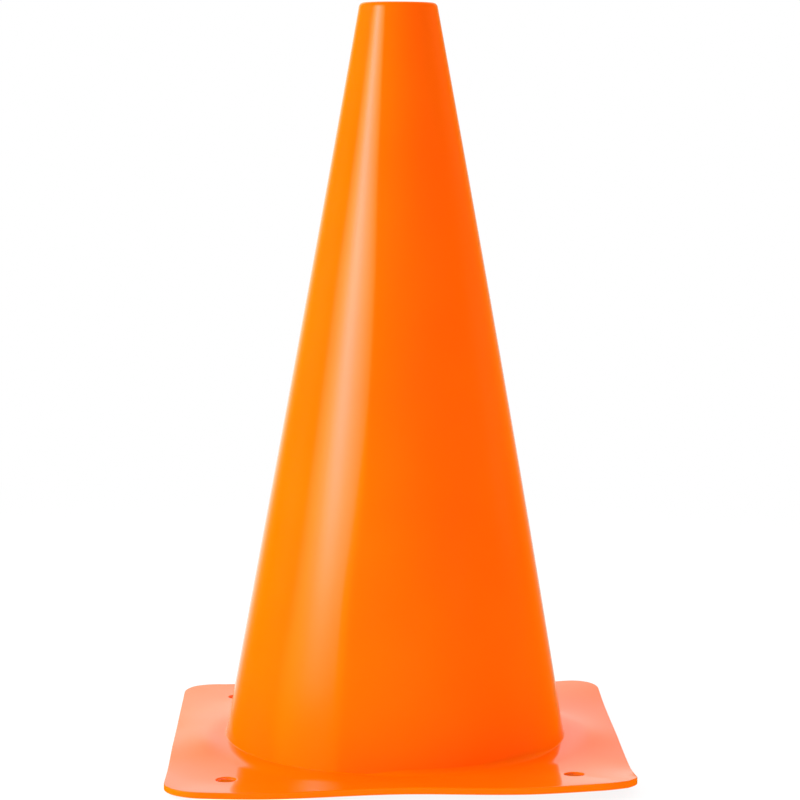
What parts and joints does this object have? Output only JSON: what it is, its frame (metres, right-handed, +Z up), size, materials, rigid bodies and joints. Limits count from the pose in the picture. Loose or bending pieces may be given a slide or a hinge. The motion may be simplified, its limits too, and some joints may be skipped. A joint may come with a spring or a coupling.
{
  "type": "sports marker cone",
  "caption": "Hollow, stackable plastic marker cone with a rounded, holed top and a square peg-down base.",
  "frame": {"origin": "middle of the square base, on the ground under its lip", "axes": "+Z up along the cone's axis, X and Y square to the base's sides, -Y towards the viewer"},
  "size_m": [0.23, 0.23, 0.38],
  "materials": {
    "orange_plastic": "glossy, slightly translucent moulded polyethylene"
  },
  "bodies": {
    "root": {"cone_wall": "orange_plastic", "top_rim": "orange_plastic", "base_flange": "orange_plastic", "edge_lip": "orange_plastic"}
  },
  "joints": []
}
